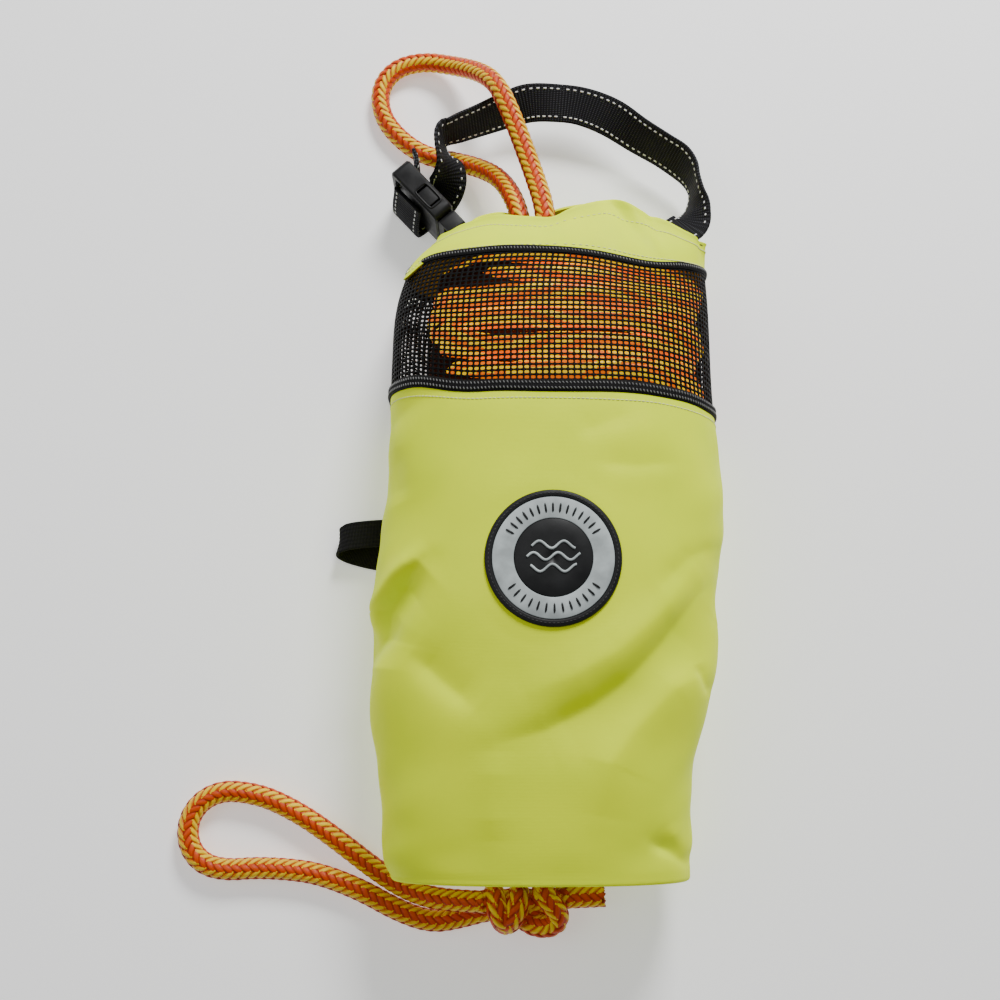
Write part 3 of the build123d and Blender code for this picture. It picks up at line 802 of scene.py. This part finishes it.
def braid(line, first_side=(0, 0, 1), turn=0.0):
    """Sixteen flat strands plaited round a line, eight each way: points, faces, UV and materials."""
    _, side, up = line_frames(line, first_side)
    run = run_along(line)
    angle = np.arange(8) * TAU / 8
    points, faces, uv, kinds, first = [], [], [], [], 0
    rows = len(line)
    for way, kind in ((1, 0), (-1, 1)):
        for k in range(8):
            theta = turn + TAU * k / 8 + way * TAU * run / LAY
            radius = STRAND_RING + way * STRAND_WAVE * np.cos(4 * (theta - turn))
            outward = side * np.cos(theta)[:, None] + up * np.sin(theta)[:, None]
            middle = line + outward * radius[:, None]
            along = unit(np.gradient(middle, axis=0))
            across = unit(np.cross(along, outward))
            ring = across[:, None] * (STRAND_HALF_W[kind] * np.cos(angle))[:, None]
            ring = ring + outward[:, None] * (STRAND_HALF_T * np.sin(angle))[:, None]
            points.append((middle[:, None] + ring).reshape(-1, 3))
            strand = grid_faces(rows, 8, wrap_columns=True, first=first)[:, ::-1].tolist()
            strand += end_caps(rows, 8, first)
            faces += strand
            kinds += [kind] * len(strand)
            # This across coordinate drives the strand material's painted edge shade.
            width = np.broadcast_to(0.5 + 0.5 * np.cos(angle), (rows, 8))
            length = np.broadcast_to((run + 5.0 * k)[:, None], (rows, 8))
            uv.append(np.stack([length, width], -1).reshape(-1, 2))
            first += 8 * rows
    inside = np.arange(10) * TAU / 10
    core = spokes(side, up, inside)
    points.append((line[:, None] + CORE_R * core).reshape(-1, 3))
    body = grid_faces(rows, 10, wrap_columns=True, first=first).tolist()
    body += [cap[::-1] for cap in end_caps(rows, 10, first)]
    faces += body
    kinds += [2] * len(body)
    uv.append(np.zeros((10 * rows, 2)))
    return np.concatenate(points), faces, np.concatenate(uv), kinds


def rope(name, line, *nodes, turn=0.0):
    points, faces, uv, kinds = braid(line, turn=turn)
    piece = make_mesh(name, points, faces, [ORANGE_STRAND, YELLOW_STRAND, ROPE_CORE], uv, kinds)
    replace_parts(piece, *nodes)
    return piece


def packed_rope(name, line, sides=24):
    """Rope seen only through the mesh: one tube whose surface is raised into the braid's plaits."""
    _, side, up = line_frames(line)
    run = run_along(line)[:, None]
    angle = np.arange(sides) * TAU / sides
    turned = angle + 1.1 * np.sin(run / 31) + 0.7 * np.sin(run / 11.3)
    column = np.cos(4 * turned)
    way = np.where(column > 0, 1.0, -1.0)
    plait = np.sin(4 * turned - way * TAU * 4 * run / LAY)
    radius = ROPE_R - 0.75 + 0.55 * np.abs(plait) * np.abs(column) ** 0.5
    ring = spokes(side, up, angle)
    points = line[:, None] + radius[..., None] * ring
    faces = grid_faces(len(line), sides, wrap_columns=True)
    kinds = np.where(np.cos(4 * (turned.ravel()[faces[:, 0]] + math.pi / sides)) > 0, 0, 1)
    # Painted shade: through the strand material this coordinate darkens the valleys between the plaits.
    shaded = np.broadcast_to(0.5 + 0.36 * (1 - np.abs(plait)), radius.shape)
    uv = np.stack([np.broadcast_to(run, radius.shape), shaded], -1)
    piece = make_mesh(
        name, points.reshape(-1, 3), faces, [STOWED_ORANGE_PAINTED_GLOW, STOWED_YELLOW_PAINTED_GLOW], uv.reshape(-1, 2), kinds
    )
    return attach(piece, "bag")


def make_stuffing():
    """The stowed rope, flaked round the inside of the window, over a plain dark heart."""
    turns, pitch = 8.2, 8.3
    phase = np.arange(0, turns * TAU, 0.03)
    theta = phase - math.pi / 2
    y = 64 + pitch * phase / TAU + 2.6 * np.sin(2.0 * phase + 2.1 * np.sin(0.31 * phase))
    y = y + np.sin(5.3 * phase)
    depth = -5.9 - 1.7 * (1 + np.sin(1.37 * phase + 1)) - 0.9 * (1 + np.sin(4.1 * phase))
    line = bag_point(theta, y, depth, 0)
    right_x, lowest = 68, 7.0
    line[:, 0] = right_x - (right_x - line[:, 0]) * (0.885 + 0.02 * np.sin(phase * 0.9))
    line[:, 2] = np.maximum(line[:, 2], lowest)
    heap = packed_rope("stowed_rope", resample(line, 1.0))
    columns, rings = 64, []
    angles, _, _ = even_angles(columns, 0)
    heart = [(-117, -40), (-116, -14), (-100, -9), (-40, -9), (40, -10), (60, -9), (126, -9)]
    heart += [(138, -16), (140, -40)]
    for y_ring, out in heart:
        ring = bag_point(angles, np.full(columns, float(y_ring)), 0.0, 0)
        middle = ring.mean(0)
        ring = middle + (ring - middle) * max(0.05, 1 + out / 42)
        ring[:, 1] = y_ring
        rings.append(ring)
    faces = grid_faces(len(rings), columns, wrap_columns=True)[:, ::-1].tolist()
    faces += end_caps(len(rings), columns)
    core = make_mesh("stowed_rope_heart", np.concatenate(rings), faces, [ROPE_SHADE])
    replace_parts(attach(core, "bag"), "rope_stuffing")
    return heap


TOP_LOOP = [
    (1, 140, 42), (0, 159, 44), (-5, 180, 38), (-12, 202, 36.5), (-18, 219, 36), (-24, 233, 34.5),
    (-33, 246, 23), (-46, 257, 10), (-62, 262, 6), (-77, 258, 5.6), (-85, 246, 5.4), (-83, 230, 5.6),
    (-73, 217, 5.4), (-60, 208, 5.6), (-45, 205, 6), (-31, 198, 12), (-21, 187, 22), (-14, 170, 31),
    (-11, 154, 33), (-10.5, 140, 31),
]  # fmt: skip
BOTTOM_LOOP = [
    (-29, -157, 17), (-45, -157, 14), (-61, -154, 8), (-76, -146, 5.6), (-95, -132, 5.4),
    (-111, -121, 5.6), (-127, -113, 5.4), (-139, -110, 5.6), (-150, -109.5, 5.4), (-159.5, -114, 5.6),
    (-165, -123, 5.4), (-164, -134, 5.6), (-157, -142, 5.4), (-146, -144.5, 5.6), (-134, -143.5, 5.4),
    (-119, -144, 5.6), (-104, -146, 5.6), (-85, -153, 5.4), (-68, -162, 5.6), (-53, -167, 5.4),
    (-40, -165, 5.6), (-29, -162, 5.8),
]  # fmt: skip


def make_ropes():
    top_line = read_line(TOP_LOOP, 1.1)
    top = rope("top_loop", top_line, "rope_top_loop")
    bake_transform(top)
    lead_line = resample([(-3, -118, 20), (-3, -146, 20), (-3, -155, 20)], 1.1)
    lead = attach(rope("bottom_lead", lead_line, "rope_bottom_lead"), "bag")
    knot_line = read_line(KNOT, 1.0)
    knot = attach(rope("bottom_knot", knot_line, "rope_bottom_knot"), "bag")
    legs = [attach(rope(f"knot_leg_{k}", read_line(leg, 1.0)), "bag") for k, leg in enumerate(KNOT_LEGS)]
    tail_line = resample([(8, -155.5, 13), (24, -154.8, 13)], 1.1)
    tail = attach(rope("bottom_tail", tail_line, "rope_tail"), "bag")
    end_line = resample([(23.2, -154.8, 13), (24.0, -154.8, 13)], 0.4)
    end = tube(end_line, 4.7, "tail_fused_end", ROPE_CORE, 20)
    bottom_line = read_line(BOTTOM_LOOP, 1.1)
    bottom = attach(rope("bottom_loop", bottom_line, "rope_bottom_loop"), "bag")


KNOT = [
    (-3, -149, 20), (-2.5, -154, 21), (2, -159, 20), (4.5, -164, 17), (0.5, -168, 14), (-6.5, -168, 11),
    (-12, -165, 7.5), (-13.5, -160, 5.8), (-13.8, -155, 8.5), (-13.2, -153, 15), (-13.5, -156.5, 20.5),
    (-16, -163, 20.5), (-19, -167, 15), (-21.5, -166, 8), (-24, -160, 5.8), (-25, -154.5, 8.5),
    (-24.5, -153.5, 15.5), (-23.8, -158.5, 20.5), (-21.5, -165, 19), (-16.5, -166, 12), (-9, -160, 9.5),
    (0, -156.5, 11), (9, -155.5, 13),
]  # fmt: skip
KNOT_LEGS = [
    [(-33, -157, 16.4), (-27, -157, 16.2), (-18, -156.5, 13), (-8, -156.5, 12), (3, -158, 12)],
    [(-33, -163, 5.8), (-27, -161.5, 6), (-18, -161.5, 7), (-8, -162, 6.5), (3, -161, 8)],
]


# ------------------------------------------------------------------ webbing handle


def curve_through(places, at):
    """Places at integer stations, read smoothly in between."""
    numbers = range(len(places))
    return np.stack([smooth(list(zip(numbers, places[:, k])), at) for k in range(3)], -1)


def ribbon(
    name, stations, width, thickness, material,
    profile=None, tracer=True, rib=0.10, span=None, open_end=None,
):
    """A strap along (centre, across) stations; crosswise ribs and any tracer threads are in the mesh."""
    centres = np.array([c for c, _ in stations], float)
    acrosses = np.array([a for _, a in stations], float)
    fine = np.linspace(0, len(stations) - 1, 60 * len(stations))
    line = curve_through(centres, fine)
    run = run_along(line)
    start, stop = span or (0.0, run[-1])
    count = int((stop - start) / 0.4) + 1
    at = np.interp(np.linspace(start, stop, count), run, fine)
    travel = np.linspace(start, stop, count)
    centre = curve_through(centres, at)
    across = curve_through(acrosses, at)
    tangent = unit(np.gradient(centre, axis=0))
    across = unit(across - tangent * (across * tangent).sum(-1, keepdims=True))
    normal = np.cross(tangent, across)
    if profile is None:
        half = [(-0.5, 0.0), (-0.488, 0.42), (-0.45, 0.5), (-0.3, 0.5), (-0.1, 0.5)]
        half += [(0.1, 0.5), (0.3, 0.5), (0.45, 0.5), (0.488, 0.42)]
        profile = half + [(-a, -b) for a, b in half]
    shape = np.array(profile)
    ribs = rib * np.sin(TAU * travel / 1.6)
    ripple = 1 + (ribs / (thickness / 2))[:, None] * (np.abs(shape[:, 1]) > 0.3)
    points = centre[:, None] + across[:, None] * (shape[:, 0] * width)[:, None]
    points = points + normal[:, None] * (shape[:, 1] * thickness * ripple)[..., None]
    rows, columns = count, len(shape)
    faces = grid_faces(rows, columns, wrap_columns=True)[:, ::-1].tolist()
    ends = zip(("start", "stop"), end_caps(rows, columns))
    faces += [face for end, face in ends if end != open_end]
    uv = np.stack(np.broadcast_arrays(travel[:, None], shape[:, 0] * width), -1).reshape(-1, 2)
    points = points.reshape(-1, 3)
    kinds = [0] * len(faces)
    if tracer:
        first = len(points)
        boxes, box_faces = tracer_boxes(travel, centre, tangent, across, normal, width, thickness)
        points = np.vstack([points, boxes])
        uv = np.vstack([uv, np.zeros((len(boxes), 2))])
        faces += [[first + k for k in face] for face in box_faces]
        kinds += [1] * len(box_faces)
    return make_mesh(name, points, faces, [material, WHITE_THREAD], uv, kinds)


DASH_STEP, DASH_INSET, DASH_HALF_L, DASH_HALF_W, DASH_RISE = 3.2, 2.6, 0.85, 0.38, 0.22


def tracer_boxes(travel, centre, tangent, across, normal, width, thickness):
    """Small raised dashes of white thread along both edges, on both faces."""
    points, faces = [], []
    quads = [(4, 5, 6, 7), (0, 1, 5, 4), (1, 2, 6, 5), (2, 3, 7, 6), (3, 0, 4, 7), (3, 2, 1, 0)]
    for at in np.arange(travel[0] + 2, travel[-1] - 1.5, DASH_STEP):
        i = int(np.argmin(np.abs(travel - at)))
        for offset in (-width / 2 + DASH_INSET, width / 2 - DASH_INSET):
            for face in (1, -1):
                middle = centre[i] + across[i] * offset + normal[i] * face * (thickness / 2 + 0.02)
                rise = normal[i] * face * DASH_RISE
                reach, half = tangent[i] * DASH_HALF_L, across[i] * DASH_HALF_W
                low = [middle - reach - half, middle + reach - half]
                low += [middle + reach + half, middle - reach + half]
                high = [middle + (p - middle) * 0.75 + rise for p in low]
                first = len(points)
                points += low + high
                order = 1 if face > 0 else -1
                faces += [[first + k for k in quad][::order] for quad in quads]
    return np.array(points).reshape(-1, 3), faces


STRAP_W, STRAP_T = 19.0, 1.8
HANDLE = [
    ((70.8, 160.6, 27), (0.93, -0.3, 0.2)), ((73.2, 167, 24), (0.70, -0.25, 0.67)),
    ((75, 175, 21), (0.35, -0.15, 0.92)), ((75, 184, 20), (0.12, 0.05, 0.99)),
    ((73, 192, 19), (0.17, 0.34, 0.92)), ((68, 199, 18), (0.19, 0.55, 0.81)),
    ((60, 205, 18), (0.15, 0.54, 0.83)), ((48, 213, 18), (0.26, 0.6, 0.76)),
    ((34, 223, 18), (0.3, 0.8, 0.5)), ((20, 229, 18), (0.22, 0.92, 0.32)),
    ((7, 231, 18), (0.08, 0.95, 0.3)), ((-7, 231, 18), (0, 0.88, 0.47)),
    ((-19, 227, 18), (-0.1, 0.66, 0.74)), ((-32, 221, 19), (-0.15, 0.4, 0.9)),
    ((-43, 216, 20), (-0.12, 0.28, 0.95)), ((-49, 213, 21), (-0.1, 0.12, 0.99)),
    ((-51.5, 209, 23), (-0.2, -0.1, 0.97)),
    ((-51, 203, 23), (-0.3, -0.1, 0.95)), ((-49, 197, 21), (-0.5, 0.05, 0.86)),
    ((-48.2, 192, 16), (-0.68, 0.3, 0.66)), ((-49, 188.5, 10.5), (-0.72, 0.55, 0.42)),
    ((-51.2, 186.5, 5), (-0.7, 0.66, 0.25)), ((-53.4, 184.5, 2.2), (-0.67, 0.742, 0)),
]  # fmt: skip
RIGHT_TAB = [
    ((70.8, 160.6, 27), (0.93, -0.3, 0.2)), ((66, 156.5, 28.5), (0.85, -0.5, 0.15)),
    ((60, 151.5, 31), (0.75, -0.65, 0.1)), ((52, 146, 33), (0.7, -0.7, 0.1)),
]  # fmt: skip
LEFT_STRAP = [
    ((-43.2, 160.6, 17), (0, 0, 1)), ((-48.5, 155.6, 17), (0, 0, 1)), ((-52.5, 149.5, 17), (0, 0, 1)),
]  # fmt: skip
LEFT_TAB = [
    ((-52.5, 149.5, 17), (0, 0, 1)), ((-61.5, 142, 18), (0, 0, 1)), ((-68, 132.5, 20), (0, 0, 1)),
]  # fmt: skip


def strap(name, stations, **options):
    """A length of the black webbing."""
    return ribbon(name, stations, STRAP_W, STRAP_T, WEBBING, **options)


def make_handle():
    """The strap in two lengths that meet without a gap."""
    whole = RIGHT_TAB[:0:-1] + HANDLE
    sewn = ribbon_length(RIGHT_TAB)
    length = ribbon_length(whole)
    cut = sewn + 0.515 * (length - sewn)
    right = strap("handle_strap_right", whole, span=(sewn, cut), open_end="stop")
    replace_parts(right, "handle_strap")
    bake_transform(right)
    left = strap("handle_strap_left", whole, span=(cut, length), open_end="start")
    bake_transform(left)
    tab = strap("handle_tab_right", whole, span=(0.0, sewn), open_end="stop")
    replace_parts(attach(tab, "bag"), "right_anchor_tab")
    anchor = strap("anchor_strap_left", LEFT_STRAP)
    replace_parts(anchor, "left_anchor_strap")
    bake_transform(anchor)
    left_tab = strap("anchor_tab_left", LEFT_TAB)
    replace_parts(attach(left_tab, "bag"), "left_anchor_tab")


BUCKLE_X, BUCKLE_Y = -49, 165  # where the two halves meet
ALONG_X, ALONG_Y = 0.67, -0.742  # the direction of its length


def beside_buckle(s, n, z):
    """A place given along the buckle, across it and above the floor."""
    return (BUCKLE_X + ALONG_X * s - ALONG_Y * n, BUCKLE_Y + ALONG_Y * s + ALONG_X * n, z)


def make_strap_end():
    """The strap's end under the buckle and up its left side, and the short tail that leaves its slot."""
    along, upright = (ALONG_X, ALONG_Y, 0.0), (0.0, 0.0, 1.0)
    under = [(9, 1.6), (0, 1.5), (-7, 1.6), (-10.6, 3.4), (-10.8, 8), (-9.8, 14), (-8.2, 20), (-7.2, 25)]
    stations = [(beside_buckle(-18.5 - 0.05 * z, n, z), along) for n, z in under]
    fold = strap("strap_end_fold", stations)
    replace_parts(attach(fold, "buckle_female"), "handle_strap_end")
    tail = [(-29, -6.5), (-29, 0), (-30, 6.5), (-33, 10.5), (-38, 12.6)]
    stations = [(beside_buckle(s, n, 17), upright) for s, n in tail]
    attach(strap("strap_end_tail", stations), "buckle_female")


def ribbon_length(stations):
    centres = np.array([c for c, _ in stations], float)
    fine = np.linspace(0, len(stations) - 1, 60 * len(stations))
    return line_length(curve_through(centres, fine))


# ------------------------------------------------------------------ badge and side loop

BELT_LOOP = [
    (-66, 9.5, 15.0), (-80, 9.5, 13.2), (-92, 8.5, 12.2), (-96.5, 7.4, 10.2), (-98.2, 6, 7.6),
    (-96.8, 4.4, 4.8), (-91, 2.2, 3), (-78, -0.5, 2.0), (-54, -3, 1.2),
]  # fmt: skip


def make_belt_loop():
    """Folded tab of elastic with lengthwise ribs."""
    ribs, steps = 7, 42
    across = np.linspace(-0.5, 0.5, steps)
    height = 0.36 + 0.14 * np.abs(np.sin(ribs * math.pi * (across + 0.5)))
    height[[0, -1]] = 0.15
    top = list(zip(across, height))
    profile = top + [(a, -b) for a, b in reversed(top)]
    stations = [(place, (0.12, 1.0, 0.0)) for place in BELT_LOOP]
    piece = ribbon("belt_loop_elastic", stations, 13.0, 1.7, ELASTIC, profile, tracer=False, rib=0.04)
    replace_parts(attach(piece, "bag"), "belt_loop")


def disc_on_bag(name, profile, material, node, columns=120):
    """A round moulding on the bag's front. The profile is a loop of (radius, height above the fabric)."""
    angle = np.arange(columns) * TAU / columns
    rings = []
    for radius, height in profile:
        x = BADGE_X + radius * np.cos(angle)
        y = BADGE_Y + radius * np.sin(angle)
        rings.append(np.stack([x, y, front_z(x, y) + height], -1))
    points = np.concatenate(rings)
    faces = grid_faces(len(profile), columns, wrap_columns=True, wrap_rows=True)
    piece = make_mesh(name, points, faces, [material])
    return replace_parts(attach(piece, "bag"), node)


def front_z(x, y):
    """Height of the smooth stuffed shape's front at (x, y)."""
    left, right, top = smooth(LEFT, y), smooth(RIGHT, y), smooth(TOP, y)
    share = np.clip(np.abs(x - (left + right) / 2) / ((right - left) / 2), 0, 0.999)
    cos = share ** (1 / 0.82)
    sin = np.sqrt(1 - cos**2)
    return 0.47 * top + 0.53 * top * sin**0.88


def make_badge():
    """Round rubber badge: a stitched black rim, a grey ring and a black middle with three plain waves."""
    rim = [(0.01, 0.2), (10, 0.2), (22, 0.2), (28.3, 0.0), (28.5, 0.5), (28.3, 1.2), (27.9, 1.5)]
    rim += [(26.0, 1.6), (25.5, 1.3), (25.45, 0.9), (16.3, 0.9), (16.2, 1.5), (15.8, 1.7)]
    rim += [(10, 1.7), (5, 1.7), (0.01, 1.7)]
    disc_on_bag("badge_base_moulding", rim, BADGE_BLACK, "badge_base")
    ring = [(25.3, 0.85), (25.3, 1.45), (25.0, 1.6), (16.7, 1.6), (16.4, 1.45), (16.4, 0.85)]
    disc_on_bag("badge_ring_inlay", ring, BADGE_GREY, "badge_ring")
    waves = []
    for offset, reach in ((5.2, 9.0), (0.4, 11.0), (-4.4, 9.5)):
        x = np.linspace(-reach, reach, 70)
        y = offset + 1.5 * np.sin(x * 0.62 + offset)
        waves.append(np.stack([x + BADGE_X, y + BADGE_Y, front_z(x + BADGE_X, y + BADGE_Y) + 1.75], -1))
    pieces = [tube(line, 0.55, f"badge_wave_{k}", BADGE_GREY, 8) for k, line in enumerate(waves)]
    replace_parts(pieces[0], "badge_emblem")
    angles = np.r_[np.linspace(0.55, 2.6, 15), np.linspace(3.75, 5.7, 13)]
    place, way = on_badge(angles, 20.8, 1.62)
    outward = np.cross(way, [[0, 0, 1.0]])
    make_stitches("badge_ring_marks", place, unit(outward), 4.2, 0.9, BADGE_BLACK)
    place, way = on_badge(np.linspace(0, TAU, 96, endpoint=False), 26.9, 1.62)
    make_stitches("badge_rim_stitches", place, way, 1.2, 0.34, BLACK_THREAD)


def on_badge(angles, radius, height):
    """Places round the badge and the direction along the circle there."""
    x = BADGE_X + radius * np.cos(angles)
    y = BADGE_Y + radius * np.sin(angles)
    place = np.stack([x, y, front_z(x, y) + height], -1)
    return place, np.stack([-np.sin(angles), np.cos(angles), np.zeros_like(angles)], -1)


def dress_kept_parts():
    """The material of the modelled parts that are shown as they are."""
    for node in ("bottom_grommet", "grommet_washer"):
        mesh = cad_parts[node].data
        mesh.materials.clear()
        mesh.materials.append(GROMMET)


def make_buckle():
    """The moulded parts once more, with their edges rounded over."""
    for node in ("buckle_female", "buckle_male_body", "buckle_prong_upper", "buckle_prong_lower"):
        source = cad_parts[node]
        piece = bpy.data.objects.new(f"{node}_moulding", source.data.copy())
        bpy.context.scene.collection.objects.link(piece)
        weld = piece.modifiers.new("weld", "WELD")
        weld.merge_threshold = 0.01 * MM
        bevel = piece.modifiers.new("rounding", "BEVEL")
        bevel.width = 0.45 * MM
        bevel.segments = 3
        bevel.limit_method = "ANGLE"
        bevel.angle_limit = math.radians(40)
        bevel.use_clamp_overlap = True
        apply_modifiers(piece)
        piece.data.materials.clear()
        piece.data.materials.append(BUCKLE)
        piece.data.polygons.foreach_set("use_smooth", np.ones(len(piece.data.polygons), bool))
        body = {"buckle_male_body": "handle", "buckle_prong_upper": "prong_upper",
                "buckle_prong_lower": "prong_lower"}.get(node, node)
        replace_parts(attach(piece, body), node)
    turn = np.arange(48) * TAU / 48
    for side, z in (("upper", 30.9), ("lower", 3.1)):
        s = -12 + 6.3 * np.sign(np.cos(turn)) * np.abs(np.cos(turn)) ** 0.35
        n = 3.7 * np.sign(np.sin(turn)) * np.abs(np.sin(turn)) ** 0.35
        line = np.stack(beside_buckle(s, n, np.full(48, z)), -1)
        rim = tube(line, 0.55, f"buckle_window_rim_{side}", BUCKLE, 8, closed=True, body="buckle_female")


make_camera()
make_studio()
make_body()
make_foam()
make_window()
make_binding("window_lower_binding", "mesh_bottom_binding", 57.6, 63.4, 0.9, (59.2, 61.6))
make_binding("window_upper_binding", "mesh_top_binding", 127.2, 131.2, 0.8, (129.3,))
make_collar()
seam_stitches()
make_stuffing()
make_ropes()
make_handle()
make_strap_end()
make_buckle()
make_belt_loop()
make_badge()
dress_kept_parts()
